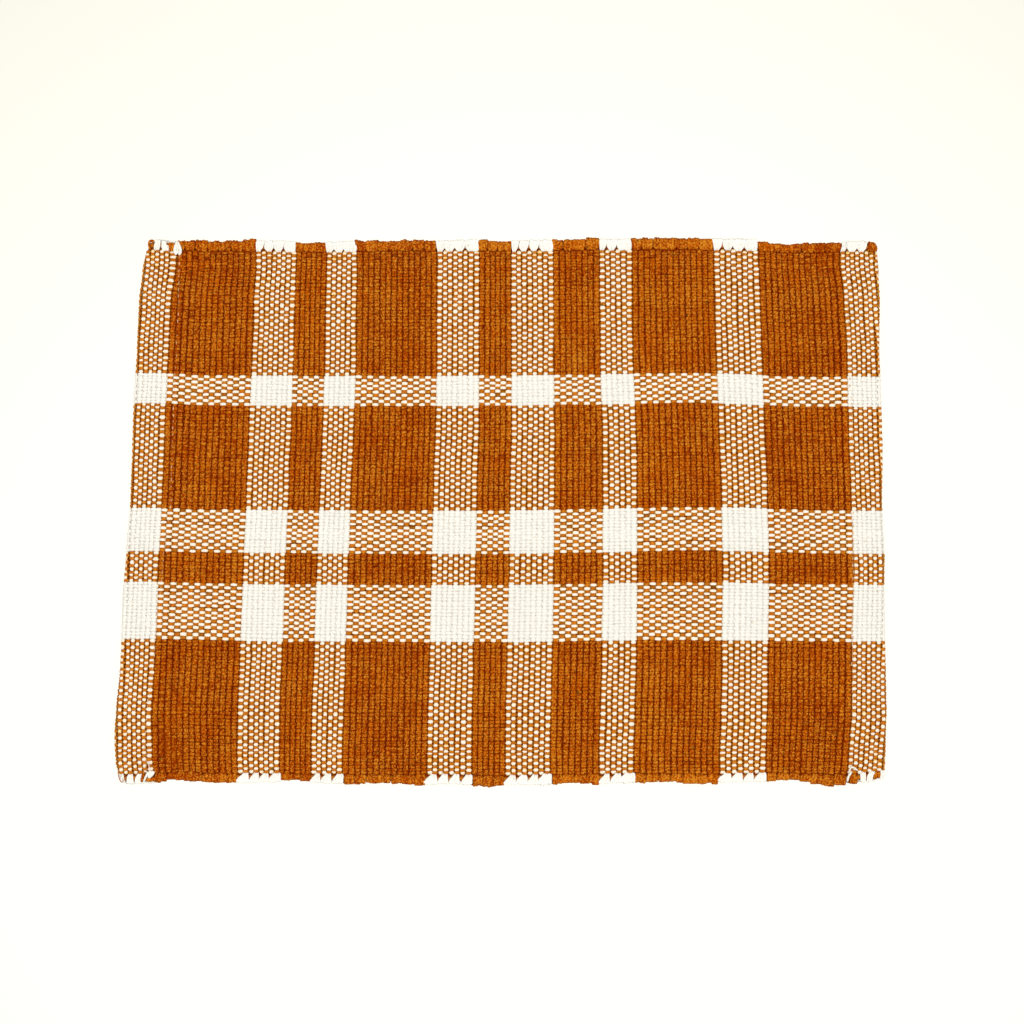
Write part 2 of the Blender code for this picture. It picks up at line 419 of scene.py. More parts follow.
class Piece:
    """Gathers tubes into one mesh, with a bake map of one strip a tube and a map that runs along and round each yarn."""

    def __init__(self, name, material, rows):
        self.name, self.material, self.rows = name, material, rows
        self.points, self.sunk, self.tone, self.stain = [], [], [], []
        self.corners, self.starts = [], []
        self.bake, self.around = [], []
        self.count, self.loops, self.row = 0, 0, 0

    def tube(self, centre, normal, width, thickness, profile, lift=None, tone=0.0, stain=0.0, rim=0.3, extra_shade=0.0):
        """One yarn: a closed section swept along its centre. lift is each ring's height above the cloth's middle as the
        painted shade takes it; it moves nothing.

        sunk tells the material how deep a place lies, which it paints as shade between yarns, with rim added along both
        sides and worn added at each ring for more painted shade. stain tells it how much rust yarn lies around, which
        brings painted shade and a painted reflection to cream yarn and holds back the painted light that rust yarn
        takes beside cream; on a cream turn it tells instead how far in a place lies.
        """
        rings, sides = len(centre), len(profile)
        tangent = unit(np.gradient(centre, axis=0))
        across = unit(np.cross(normal, tangent))
        up = np.cross(tangent, across)
        width = np.broadcast_to(np.asarray(width, float), (rings,))
        thickness = np.broadcast_to(np.asarray(thickness, float), (rings,))
        a = width[:, None] * profile[None, :, 0]
        b = thickness[:, None] * profile[None, :, 1]
        ring = centre[:, None, :] + across[:, None, :] * a[..., None] + up[:, None, :] * b[..., None]
        ring[..., 2] = np.maximum(ring[..., 2], 0.01)
        self.points.append(ring.reshape(-1, 3))
        height = b if lift is None else lift[:, None] + b
        facing = np.sign(np.where(np.abs(profile[:, 1]) > 0.1, profile[:, 1], 0.0))[None, :]
        outwards = np.where(facing == 0.0, np.abs(height), facing * height)
        sunk = 1.0 - outwards / (0.5 * CLOTH_THICKNESS) + np.where(facing == 0.0, rim, 0.0)
        sunk = sunk + np.broadcast_to(np.asarray(extra_shade, float), (rings,))[:, None]
        self.sunk.append(np.clip(sunk, 0.0, 1.7).reshape(-1))
        self.tone.append(np.full(rings * sides, tone))
        self.stain.append(np.repeat(np.broadcast_to(np.asarray(stain, float), (rings,)), sides))
        k, c = np.meshgrid(np.arange(rings - 1), np.arange(sides), indexing="ij")
        k, c = k.ravel(), c.ravel()
        n = (c + 1) % sides
        quads = np.stack([k * sides + c, (k + 1) * sides + c, (k + 1) * sides + n, k * sides + n], axis=1)
        self.corners.append((quads + self.count).reshape(-1))
        self.starts.append(self.loops + 4 * np.arange(len(quads)))
        self.loops += 4 * len(quads)
        along = np.concatenate([[0.0], np.cumsum(np.linalg.norm(np.diff(centre, axis=0), axis=1))])
        share = along / max(along[-1], 1e-6)
        row = self.row
        u = np.stack([share[k], share[k + 1], share[k + 1], share[k]], axis=1)
        v = np.stack([c, c, c + 1, c + 1], axis=1) / sides
        bake = np.stack([0.003 + 0.994 * u, (row + 0.05 + 0.9 * v) / self.rows], axis=-1)
        self.bake.append(bake.reshape(-1, 2))
        yarn = np.stack([np.stack([along[k], along[k + 1], along[k + 1], along[k]], axis=1), v], axis=-1)
        self.around.append(yarn.reshape(-1, 2))
        for ring_number, order in ((0, np.arange(sides)), (rings - 1, np.arange(sides)[::-1])):
            self.corners.append(order + ring_number * sides + self.count)
            self.starts.append(np.array([self.loops]))
            self.loops += sides
            end = 0.0015 if ring_number == 0 else 0.9985
            spot = np.stack([end + 0.001 * profile[order, 0], (row + 0.5 + 0.1 * profile[order, 1]) / self.rows], axis=-1)
            self.bake.append(spot)
            self.around.append(np.stack([np.full(sides, along[ring_number]) + profile[order, 0], 0.3 + 0.1 * profile[order, 1]], axis=-1))
        self.count += rings * sides
        self.row += 1

    def build(self):
        mesh = bpy.data.meshes.new(self.name)
        points = np.concatenate(self.points) * MM
        corners = np.concatenate(self.corners).astype(np.int32)
        starts = np.concatenate(self.starts).astype(np.int32)
        mesh.vertices.add(len(points))
        mesh.vertices.foreach_set("co", points.astype(np.float32).ravel())
        mesh.loops.add(len(corners))
        mesh.loops.foreach_set("vertex_index", corners)
        mesh.polygons.add(len(starts))
        mesh.polygons.foreach_set("loop_start", starts)
        for name, values in (("OFBake", self.bake), ("yarn", self.around)):
            layer = mesh.uv_layers.new(name=name)
            layer.data.foreach_set("uv", np.concatenate(values).astype(np.float32).ravel())
        for name, values in (("sunk", self.sunk), ("tone", self.tone), ("stain", self.stain)):
            attribute = mesh.attributes.new(name, "FLOAT", "POINT")
            attribute.data.foreach_set("value", np.concatenate(values).astype(np.float32))
        mesh.update(calc_edges=True)
        mesh.validate()
        mesh.shade_smooth()
        mesh.materials.append(self.material)
        obj = bpy.data.objects.new(self.name, mesh)
        bpy.context.scene.collection.objects.link(obj)
        return obj


# ---------------------------------------------------------------- materials


def new_material(name):
    material = bpy.data.materials.new(name)
    material.use_nodes = True
    nodes, links = material.node_tree.nodes, material.node_tree.links
    shader = nodes["Principled BSDF"]
    return material, nodes, links, shader


def yarn_material(name, light, dark, gold, deep, lit_shade, halo, outline_shade, lit, speck, deep_from, deep_to, halo_depth, lit_depth, ply_depth, mottle, half_width, half_length, middle_reflection):
    """Spun cotton. light and dark are the yarn's two shades, and gold its warmer one. deep is the painted shade it
    takes where it lies deep between yarns and in the grooves between its plies. Beside rust yarn this gives way to
    halo, painted shade tinted by light reflected from the rust, and past the float's outline to stained, a darker
    painted shade. Beside cream yarn, and on a cream turn's outer side, it takes lit, painted light, and its painted
    shade goes to seam. speck is a rare odd fibre, and mottle how strongly the fibres vary. half_width, a share of the
    yarn's width, and half_length, a depth, bound the float's clean middle, which warmth tints towards halo as painted
    reflection too."""
    material, nodes, links, shader = new_material(name)

    def node(kind, **values):
        made = nodes.new(kind)
        for key, value in values.items():
            setattr(made, key, value)
        return made

    def maths(operation, a, b, clamp=False):
        made = node("ShaderNodeMath", operation=operation, use_clamp=clamp)
        for socket, value in zip(made.inputs, (a, b)):
            if hasattr(value, "is_linked"):
                links.new(value, socket)
            else:
                socket.default_value = value
        return made.outputs[0]

    def blend(factor, a, b):
        made = node("ShaderNodeMix", data_type="RGBA")
        for socket, value in ((made.inputs["Factor"], factor), (made.inputs["A"], a), (made.inputs["B"], b)):
            if socket.type != "RGBA" and not hasattr(value, "is_linked"):
                socket.default_value = value
            elif hasattr(value, "is_linked"):
                links.new(value, socket)
        sockets = [s for s in made.inputs if s.type == "RGBA"]
        for socket, value in zip(sockets, (a, b)):
            if hasattr(value, "is_linked"):
                links.new(value, socket)
            else:
                socket.default_value = (*value, 1.0)
        factor_socket = made.inputs[0]
        if hasattr(factor, "is_linked"):
            links.new(factor, factor_socket)
        return [s for s in made.outputs if s.type == "RGBA"][0]

    def noise(scale, detail, seed):
        made = node("ShaderNodeTexNoise", noise_dimensions="4D")
        made.inputs["W"].default_value = seed
        made.inputs["Scale"].default_value = scale
        made.inputs["Detail"].default_value = detail
        links.new(where.outputs["Object"], made.inputs["Vector"])
        return made.outputs["Fac"]

    def ramp(value, low, high):
        made = node("ShaderNodeMapRange", interpolation_type="SMOOTHSTEP")
        made.inputs["From Min"].default_value = low
        made.inputs["From Max"].default_value = high
        links.new(value, made.inputs["Value"])
        return made.outputs["Result"]

    where = node("ShaderNodeTexCoord")
    sunk = node("ShaderNodeAttribute", attribute_name="sunk").outputs["Fac"]
    tone = node("ShaderNodeAttribute", attribute_name="tone").outputs["Fac"]
    stain = node("ShaderNodeAttribute", attribute_name="stain").outputs["Fac"]
    yarn_map = node("ShaderNodeUVMap", uv_map="yarn")
    apart = node("ShaderNodeSeparateXYZ")
    links.new(yarn_map.outputs["UV"], apart.inputs["Vector"])

    # the plies: three ridges that wind round the yarn once every 5 mm
    turn = maths("ADD", maths("MULTIPLY", apart.outputs["X"], 0.6), maths("MULTIPLY", apart.outputs["Y"], 3.0))
    ridge = maths("ABSOLUTE", maths("SINE", maths("MULTIPLY", turn, math.pi), 0.0), 0.0)
    fibre = noise(1250.0, 3.0, 4.0)
    clumps = noise(760.0, 2.0, 1.5)
    broad = noise(38.0, 2.0, 7.5)
    odd = noise(330.0, 1.0, 11.0)

    def centred(value, strength):
        return maths("MULTIPLY", maths("SUBTRACT", value, 0.5), strength)

    mixture = maths("ADD", centred(fibre, 1.5 * mottle), centred(clumps, 1.2 * mottle))
    mixture = maths("ADD", mixture, centred(broad, 0.5))
    mixture = maths("ADD", mixture, maths("ADD", tone, 0.5))
    warm = ramp(maths("ADD", noise(980.0, 2.0, 21.0), centred(noise(60.0, 1.0, 31.0), 0.3)), 0.40, 0.60)
    colour = blend(ramp(mixture, 0.05, 0.95), dark, blend(warm, light, gold))
    # painted light: where stain is low, a rust yarn beside cream yarn takes lit as light bounced from the cream, and a
    # cream turn's outer side takes it as well
    pale = maths("SUBTRACT", 1.0, stain)
    colour = blend(maths("MULTIPLY", pale, lit_depth), colour, lit)
    colour = blend(maths("MULTIPLY", ramp(odd, 0.69, 0.75), 0.75), colour, speck)
    # painted shade in the grooves between the plies
    groove = maths("MULTIPLY", ramp(ridge, 0.45, 0.0), ply_depth)
    # the section's lower side comes to an edge, which is its middle as seen from beneath
    beneath = maths("MULTIPLY", ramp(apart.outputs["Y"], 0.6, 0.68), 0.5)
    depth = maths("ADD", maths("MULTIPLY", sunk, maths("SUBTRACT", 1.0, beneath)), centred(clumps, 0.5))
    # the distance from the yarn's middle line as a share of its width; round is 1 at the edges of its flat top and 3 down its sides
    round_it = maths("MULTIPLY", maths("ABSOLUTE", maths("SUBTRACT", apart.outputs["Y"], 0.3), 0.0), 10.0)
    aside = maths("MULTIPLY", maths("MINIMUM", round_it, 1.0), 0.34)
    aside = maths("ADD", aside, maths("MULTIPLY", maths("MAXIMUM", maths("SUBTRACT", round_it, 1.0), 0.0), 0.08))
    aside = maths("MINIMUM", aside, maths("MULTIPLY", maths("ABSOLUTE", maths("SUBTRACT", apart.outputs["Y"], 0.8), 0.0), 2.5))
    aside = maths("MAXIMUM", maths("ADD", aside, centred(clumps, 0.14)), 0.0)
    beside = maths("MULTIPLY", stain, halo_depth)
    kept = maths("SUBTRACT", 1.0, beside)
    near_cream = maths("MULTIPLY", pale, 1.0 if lit_depth else 0.0)
    # painted shade: a place that lies deep between yarns, and a ply groove, goes to deep, and to seam where painted
    # light falls; beside rust yarn the outline below takes over from all but the grooves
    sinking = maths("ADD", depth, maths("MULTIPLY", near_cream, 0.12))
    shade = blend(near_cream, deep, lit_shade)
    colour = blend(maths("ADD", maths("MULTIPLY", ramp(sinking, deep_from, deep_to), kept), groove, clamp=True), colour, shade)
    # a float's rounded outline is 1 round its clean middle. Beside rust yarn, a cream float goes towards that outline
    # to halo, painted shade tinted by light reflected from the rust, with warmth bringing some of it over the middle
    # too, and past the outline to stained, a darker painted shade.
    long_way = maths("POWER", maths("MAXIMUM", maths("DIVIDE", depth, half_length), 0.0), 2.4)
    outline = maths("ADD", long_way, maths("POWER", maths("DIVIDE", aside, half_width), 2.4))
    tinted = maths("ADD", maths("MULTIPLY", ramp(outline, 0.2, 1.15), 1.0 - middle_reflection), middle_reflection)
    colour = blend(maths("MULTIPLY", tinted, beside), colour, halo)
    colour = blend(maths("MULTIPLY", ramp(outline, 1.6, 3.2), beside), colour, outline_shade)
    links.new(colour, shader.inputs["Base Color"])

    rough = maths("ADD", maths("MULTIPLY", fibre, 0.12), 0.82)
    links.new(rough, shader.inputs["Roughness"])
    relief = maths("ADD", maths("MULTIPLY", ridge, 0.7), maths("MULTIPLY", fibre, 0.5))
    bump = node("ShaderNodeBump")
    bump.inputs["Strength"].default_value = 0.5
    bump.inputs["Distance"].default_value = 0.00022
    links.new(relief, bump.inputs["Height"])
    links.new(bump.outputs["Normal"], shader.inputs["Normal"])
    shader.inputs["Specular IOR Level"].default_value = 0.02
    return material


# rust cotton: deep and seam are painted shade between yarns, seam the paler one beside cream yarn, and lit is painted
# light bounced from the cream yarn beside
RUST = yarn_material(
    "rust_cotton",
    light=(0.515, 0.108, 0.001),
    dark=(0.25, 0.028, 0.0),
    gold=(0.62, 0.228, 0.015),
    deep=(0.13, 0.005, 0.0),
    lit_shade=(0.17, 0.050, 0.003),
    halo=(0.14, 0.006, 0.0),
    outline_shade=(0.14, 0.006, 0.0),
    lit=(0.64, 0.205, 0.012),
    speck=(0.10, 0.060, 0.006),
    deep_from=0.14,
    deep_to=0.75,
    halo_depth=0.0,
    lit_depth=0.5,
    ply_depth=0.25,
    mottle=2.15,
    half_width=0.5,
    half_length=1.0,
    middle_reflection=0.0,
)


# cream cotton: deep and seam are painted shade between yarns. Beside rust yarn, halo is painted shade tinted by light
# reflected from the rust, and stained a darker painted shade past a float's outline.
def cream_material(name, half_width, half_length, middle_reflection):
    return yarn_material(
        name,
        light=(0.825, 0.802, 0.735),
        dark=(0.765, 0.735, 0.665),
        gold=(0.825, 0.795, 0.715),
        deep=(0.64, 0.575, 0.50),
        lit_shade=(0.64, 0.575, 0.50),
        halo=(0.84, 0.54, 0.19),
        outline_shade=(0.30, 0.105, 0.008),
        lit=(0.825, 0.802, 0.735),
        speck=(0.70, 0.62, 0.50),
        deep_from=0.85,
        deep_to=1.25,
        halo_depth=1.0,
        lit_depth=0.0,
        ply_depth=0.03,
        mottle=0.8,
        half_width=half_width,
        half_length=half_length,
        middle_reflection=middle_reflection,
    )


CREAM = cream_material("cream_cotton", 0.42, 0.45, 0.12)
CREAM_ENDS = cream_material("cream_ends_cotton", 0.45, 0.56, 0.03)
# the same cotton where it turns round the edge cord, which is drawn out there. Its outer side is painted lighter
# against the shade that falls there: it takes lit, painted light, and seam, a pale painted shade.
CREAM_TURNS = yarn_material(
    "cream_turns_cotton",
    light=(0.85, 0.822, 0.752),
    dark=(0.765, 0.735, 0.665),
    gold=(0.85, 0.815, 0.735),
    deep=(0.70, 0.64, 0.56),
    lit_shade=(0.92, 0.89, 0.82),
    halo=(0.64, 0.575, 0.50),
    outline_shade=(0.64, 0.575, 0.50),
    lit=(0.97, 0.95, 0.87),
    speck=(0.70, 0.62, 0.50),
    deep_from=0.85,
    deep_to=1.25,
    halo_depth=0.0,
    lit_depth=1.0,
    ply_depth=0.12,
    mottle=0.9,
    half_width=0.5,
    half_length=1.0,
    middle_reflection=0.0,
)
# sewing thread; deep and seam are painted shade
THREAD = yarn_material(
    "sewing_thread",
    light=(0.74, 0.50, 0.30),
    dark=(0.56, 0.28, 0.10),
    gold=(0.74, 0.48, 0.26),
    deep=(0.34, 0.12, 0.02),
    lit_shade=(0.34, 0.12, 0.02),
    halo=(0.34, 0.12, 0.02),
    outline_shade=(0.34, 0.12, 0.02),
    lit=(0.74, 0.50, 0.30),
    speck=(0.5, 0.3, 0.15),
    deep_from=0.8,
    deep_to=1.4,
    halo_depth=0.0,
    lit_depth=0.0,
    ply_depth=0.2,
    mottle=1.0,
    half_width=0.5,
    half_length=1.0,
    middle_reflection=0.0,
)

# ---------------------------------------------------------------- warp ends


def rings_at(number, table):
    """A table's rings about one crossing: rows of place, lift, width and thickness."""
    return [(number + place, lift, width, thickness) for place, lift, width, thickness in table]


def warp_rings(i):
    fold = FOLDS[i]
    rings = [(-0.55, 0.0, 0.9, 0.9)]
    for j in range(PICKS):
        over = not weft_is_over(i, j)
        hidden = j < fold["left low"] - 1.2 or j > fold["right low"] + 1.2
        turning = fold["left low"] - 0.9 < j < fold["left high"] + 0.7 or fold["right high"] - 0.7 < j < fold["right low"] + 0.9
        if turning:
            table = FOLD_OVER if over else FOLD_UNDER
        elif hidden:
            table = BURIED_OVER if over else BURIED_UNDER
        else:
            table = WARP_OVER if over else WARP_UNDER
        rings += rings_at(j, table)
    rings.append((PICKS - 0.45, 0.0, 0.9, 0.9))
    return np.array(rings)


def build_warp():
    groups = {"cream": ["cream"], "rust": ["rust_far", "rust_near"]}
    rust_ends = [i for i in range(ENDS) if END_YARN[i] == "rust"]
    cream_ends = [i for i in range(ENDS) if END_YARN[i] == "cream"]
    half = len(rust_ends) // 2
    sets = (
        ("warp_rust_far", RUST, rust_ends[:half]),
        ("warp_rust_near", RUST, rust_ends[half:]),
        ("warp_cream", CREAM_ENDS, cream_ends),
    )
    made = []
    numbers = np.arange(-1, PICKS + 1)
    rust_beside = np.array([0.0 if PICK_YARN[int(np.clip(n, 0, PICKS - 1))] == "cream" else 1.0 for n in numbers])
    for name, material, members in sets:
        piece = Piece(name, material, len(members))
        for i in members:
            s, lift, wide, thick = warp_rings(i).T
            lift = WARP_LIFT * lift
            q_line = np.concatenate([[2 * GRID_Q[i, 0] - GRID_Q[i, 1]], GRID_Q[i], [2 * GRID_Q[i, -1] - GRID_Q[i, -2]]])
            y_line = np.concatenate([[GRID_Y[i, 0]], GRID_Y[i], [GRID_Y[i, -1]]])
            q, y = np.interp(s, numbers, q_line), np.interp(s, numbers, y_line)
            middle, normal = ribbon(q, y)
            body = WARP_WIDTH * (0.5 + 0.5 * END_PITCH[i] / 1.87) * (1.0 + 0.05 * rng.standard_normal())
            width = body * wide * (1.0 + 0.06 * rng.standard_normal(len(s)))
            thickness = WARP_THICKNESS * thick * (1.0 + 0.05 * rng.standard_normal(len(s)))
            lift = lift + 0.05 * rng.standard_normal(len(s))
            centre = middle + normal * lift[:, None]
            tone = 0.09 * rng.standard_normal()
            piece.tube(centre, normal, width, thickness, FIVE_SIDES, lift, tone, np.interp(s, numbers, rust_beside), rim=-0.2 if material is CREAM_ENDS else 0.2)
        made.append(piece.build())
    return made


# ---------------------------------------------------------------- weft picks


def uneven(numbers, first=0.0):
    """How much more painted shade each crossing takes, as if it lay beneath its neighbours. A few take more, and so do
    the first ones beside the far edge.
    """
    extra_shade = 0.075 * rng.standard_normal(ENDS) + np.where(rng.random(ENDS) < 0.08, 0.12, 0.0)
    extra_shade[1:4] += first
    return extra_shade[np.clip(np.round(numbers).astype(int), 0, ENDS - 1)]


def weft_rings(j, hidden):
    """Each ring of a pick between the two edge cords."""
    rings = [(0.66, -0.26, 0.8, 0.9) if weft_is_over(0, j) else (0.50, -1.1, 0.6, 0.8)]
    for i in range(1, ENDS - 1):
        over = weft_is_over(i, j)
        if hidden:
            table = BURIED_OVER if over else BURIED_UNDER
        else:
            table = WEFT_OVER if over else WEFT_UNDER
        rings += rings_at(i, table)
    if not weft_is_over(0, j):
        rings[1] = (0.88, 0.80, 0.84, 0.92)
    if weft_is_over(ENDS - 1, j):
        rings.append((ENDS - 1.66, -0.26, 0.8, 0.9))
    else:
        rings[-1] = (ENDS - 2 + 0.08, 0.80, 0.84, 0.92)
        rings.append((ENDS - 1.55, -1.1, 0.6, 0.8))
    return np.array(rings)


def pick_is_hidden(j):
    return j < min(f["left low"] for f in FOLDS) - 0.6 or j > max(f["right low"] for f in FOLDS) + 0.6


def pick_width(j):
    """A pick fills most of its spacing, and one beside another yarn spreads a little."""
    beside = [k for k in (j - 1, j + 1) if 0 <= k < PICKS and PICK_YARN[k] != PICK_YARN[j]]
    return WEFT_SHARE * PICK_PITCH[j] * (1.08 if beside and PICK_YARN[j] == "cream" else 1.0)


def build_weft():
    rust = [j for j in range(PICKS) if PICK_YARN[j] == "rust"]
    cream = [j for j in range(PICKS) if PICK_YARN[j] == "cream"]
    sets = (
        ("weft_rust_left", RUST, rust[: len(rust) // 2]),
        ("weft_rust_right", RUST, rust[len(rust) // 2 :]),
        ("weft_cream_left", CREAM, cream[: len(cream) // 2]),
        ("weft_cream_right", CREAM, cream[len(cream) // 2 :]),
    )
    made = []
    numbers = np.arange(ENDS)
    rust_beside = np.array([0.0 if kind == "cream" else 1.0 for kind in END_YARN])
    for name, material, members in sets:
        piece = Piece(name, material, len(members))
        for j in members:
            hidden = pick_is_hidden(j)
            r, lift, wide, thick = weft_rings(j, hidden).T
            lift = WEFT_LIFT * lift
            q, y = np.interp(r, numbers, GRID_Q[:, j]), np.interp(r, numbers, GRID_Y[:, j])
            middle, normal = ribbon(q, y)
            slub = 1.0 + np.interp(r, numbers, wander((ENDS,), 0, 5, 0.045))
            width = pick_width(j) * wide * slub * (1.0 + 0.03 * rng.standard_normal(len(r)))
            if j == WIDE_PICK:
                width = width * (1.0 + 0.3 * crowding(y))
            thickness = WEFT_THICKNESS * thick * (1.0 + 0.04 * rng.standard_normal(len(r)))
            lift = lift + 0.08 * rng.standard_normal(len(r))
            centre = middle + normal * lift[:, None]
            profile = FOUR_SIDES if hidden else FIVE_SIDES
            tone = PICK_TONE[j] + 0.07 * rng.standard_normal()
            extra_shade = uneven(r, first=0.16)
            rim = 0.1 if hidden else 0.45
            piece.tube(centre, normal, width, thickness, profile, lift, tone, np.interp(r, numbers, rust_beside), rim=rim, extra_shade=extra_shade)
        made.append(piece.build())
    return made


# ---------------------------------------------------------------- woven edges: a cord, and the picks that turn round it


def build_cords():
    piece = Piece("edge_cords", RUST, 2)
    numbers = np.arange(PICKS)
    for i in (0, ENDS - 1):
        s = np.arange(-0.4, PICKS - 0.6, 0.5)
        q, y = np.interp(s, numbers, GRID_Q[i]), np.interp(s, numbers, GRID_Y[i])
        middle, normal = ribbon(q, y)
        angle = np.linspace(0.0, 2.0 * np.pi, 9)[:-1]
        round_section = np.stack([-0.5 * np.cos(angle), 0.5 * np.sin(angle)], axis=1)
        lift = np.full(len(s), 0.0)
        # the cord takes its painted shade as if it lay 0.35 mm above the cloth's middle
        piece.tube(middle, normal, CORD_WIDTH, CORD_THICKNESS, round_section, lift + 0.35, tone=0.1)
    return piece.build()


# A turn's path, from its inner end on the upper face, over the cord and back beneath it. Its two sides are given in pitches from the pick that
# comes over the cord towards the one that it becomes, apart for the far and the near edge.
TURN_COLUMNS = ("inward", "lift", "rust lift", "far from", "far to", "near from", "near to", "roll")
TURN_ROWS = (
    (1.10, -0.90, -0.90, -0.30, 0.30, -0.22, 0.42, 0.0),
    (0.97, -0.10, -0.75, -0.40, 0.34, -0.28, 0.52, 0.0),
    (0.79, 0.85, 0.35, -0.72, 0.50, -0.34, 0.72, 0.0),
    (0.60, 0.98, 0.92, -1.00, 0.80, -0.38, 1.00, 0.0),
    (0.40, 1.02, 1.02, -1.08, 0.94, -0.42, 1.36, 0.0),
    (0.12, 0.66, 0.66, -0.92, 1.10, -0.44, 1.58, 0.25),
    (0.00, 0.00, 0.00, -0.88, 1.14, -0.44, 1.58, 0.5),
    (0.12, -0.64, -0.64, -0.60, 1.30, -0.30, 1.56, 0.75),
    (0.52, -0.92, -0.92, 0.10, 1.40, 0.20, 1.50, 1.0),
    (0.95, -0.62, -0.62, 0.60, 1.40, 0.60, 1.40, 1.0),
)

# Turns beside the corners that lie out of order, or are of the other yarn: the first of the turn's two picks, and its sides at the outer edge
CHANGE_COLUMNS = ("edge", "pick", "yarn", "from", "to")
CHANGE_ROWS = (
    ("far", 10, "none", 0.0, 0.0),
    ("far", 12, "cream", -0.48, 0.72),
    ("far", 14, "cream", -0.93, -0.11),
    ("far", 134, "rust", -0.90, 1.80),
    ("far", 136, "cream", -0.12, 0.90),
    ("far", 142, "rust", -0.50, 1.45),
    ("near", 8, "cream", -0.77, 0.73),
    ("near", 10, "cream", -0.54, 0.86),
    ("near", 12, "cream", 0.0, 1.35),
    ("near", 14, "none", 0.0, 0.0),
    ("near", 136, "rust", -0.75, 0.75),
    ("near", 138, "cream", -0.34, 0.75),
    ("near", 140, "cream", 0.32, 1.5),
    ("near", 142, "rust", 0.63, 2.0),
)
STRANDS = 4


def turn_column(name):
    return np.array([row[TURN_COLUMNS.index(name)] for row in TURN_ROWS], dtype=float)


def turn_sides(kind, far, starts, ends):
    """Both sides of a turn's path. starts and ends tell whether it is its stripe's first or last; such a turn keeps to its stripe."""
    low = turn_column("far from" if far else "near from")
    high = turn_column("far to" if far else "near to")
    inward, upper_face = turn_column("inward"), turn_column("roll") < 0.6
    if kind == "rust":
        low = np.where(upper_face & (inward < 0.9), 0.35 * low + 0.65 * low[5], low)
        high = np.where(upper_face & (inward < 0.9), 0.35 * high + 0.65 * high[5], high)
    if far and starts:
        low = np.where(upper_face, np.maximum(low, -0.42 - 0.3 * (1.0 - inward)), low)
    if far and ends:
        high = np.where(upper_face & (inward < 0.9), 1.42, high)
    if not far and starts and kind == "cream":
        high = np.where(upper_face & (inward < 0.5), high + 0.4 * (1.0 - 2.0 * inward), high)
    if not far and starts and kind == "rust":
        high = np.where(upper_face, np.minimum(high, 1.22), high)
    if not far and ends:
        low = np.where(upper_face & (inward < 0.9), -0.72 if kind == "cream" else -0.30, low)
    return low, high


def build_turns():
    """Every pick turns round the edge cord and comes back as its neighbour. Its strands fan out over the cord."""
    turns = {"rust": [], "cream": []}
    for far in (True, False):
        cord = 0 if far else ENDS - 1
        beside = 1 if far else ENDS - 2
        sway = wander((PICKS // 2 + 1,), 0, 3, 0.4)
        for a in range(0, PICKS - 1, 2):
            upper, lower = (a, a + 1) if weft_is_over(cord, a) else (a + 1, a)
            starts = a > 0 and PICK_YARN[a - 1] != PICK_YARN[a]
            ends = a + 2 < PICKS and PICK_YARN[a + 2] != PICK_YARN[a]
            changes = [row for row in CHANGE_ROWS if row[:2] == ("far" if far else "near", a)]
            yarn = changes[0][2] if changes else PICK_YARN[a]
            if yarn != "none":
                turns[yarn].append((far, cord, beside, upper, lower, starts, ends, sway[a // 2], changes))
    made = []
    for kind, material in (("rust", RUST), ("cream", CREAM_TURNS)):
        piece = Piece(f"edge_turns_{kind}", material, len(turns[kind]) * STRANDS)
        for far, cord, beside, upper, lower, starts, ends, sway, changes in turns[kind]:
            q_up, q_low = GRID_Q[cord, upper], GRID_Q[cord, lower]
            x_middle = float(ribbon(0.5 * (q_up + q_low), GRID_Y[cord, upper])[0][0]) - SHIFT_X
            outer = float(far_edge(x_middle) if far else near_edge(x_middle))
            inner = GRID_Y[beside, upper] + (0.35 if far else -0.35)
            tone = 0.06 * rng.standard_normal() + (PICK_TONE[upper] if kind == "rust" else 0.1)
            hidden = pick_is_hidden(upper)
            outward = 1.0 if far else -1.0
            low, high = turn_sides(kind, far, starts, ends)
            for row in changes:
                outer_part = np.clip((0.97 - turn_column("inward")) / 0.6, 0.0, 1.0) * (turn_column("roll") < 0.6)
                low = low + (row[CHANGE_COLUMNS.index("from")] - low) * outer_part
                high = high + (row[CHANGE_COLUMNS.index("to")] - high) * outer_part
            fullness = 1.0 + 0.07 * rng.standard_normal()
            shift = 0.05 * rng.standard_normal()
            pair = 0.25 * rng.standard_normal(STRANDS // 2)
            for n in range(STRANDS):
                side = (n + 0.5) / STRANDS - 0.5
                inward, roll = turn_column("inward"), np.pi * turn_column("roll")
                lift = turn_column("rust lift" if kind == "rust" else "lift")
                along = 0.5 * (low + high) + side * (high - low) * fullness + shift
                width = 1.3 * (high - low) / STRANDS * abs(q_low - q_up) * fullness
                if kind == "rust":
                    swell = pair[n // 2] + 0.14 * rng.standard_normal() + sway
                else:
                    swell = 0.25 * math.cos(side * math.pi) + 0.2 * rng.standard_normal()
                out = outer + (swell - 0.15) * outward
                y = out + (inner - out) * inward
                q = q_up + (q_low - q_up) * along
                q = q + 0.08 * rng.standard_normal(len(q))
                lift = lift + 0.07 * rng.standard_normal(len(lift))
                middle, normal = ribbon(q, y)
                centre = middle + normal * lift[:, None]
                # the section's thin way points from the cord outwards all round the turn
                side_on = np.array([0.0, outward, 0.0])
                facing = normal * np.cos(roll)[:, None] + side_on[None, :] * np.sin(roll)[:, None]
                # painted shade: a turn's outer part takes it as if it lay high, and there a cream turn, with stain near
                # nothing, takes painted light
                piece.tube(
                    centre,
                    facing,
                    width,
                    0.95 + 0.06 * rng.standard_normal(),
                    FOUR_SIDES if hidden else FIVE_SIDES,
                    np.where(inward < 0.7, 0.85, lift + 0.25),
                    tone + 0.12 * rng.standard_normal(),
                    stain=1.0 if kind == "rust" else np.clip(inward / 0.35, 0.0, 1.0),
                    rim=0.1,
                )
        made.append(piece.build())
    return made


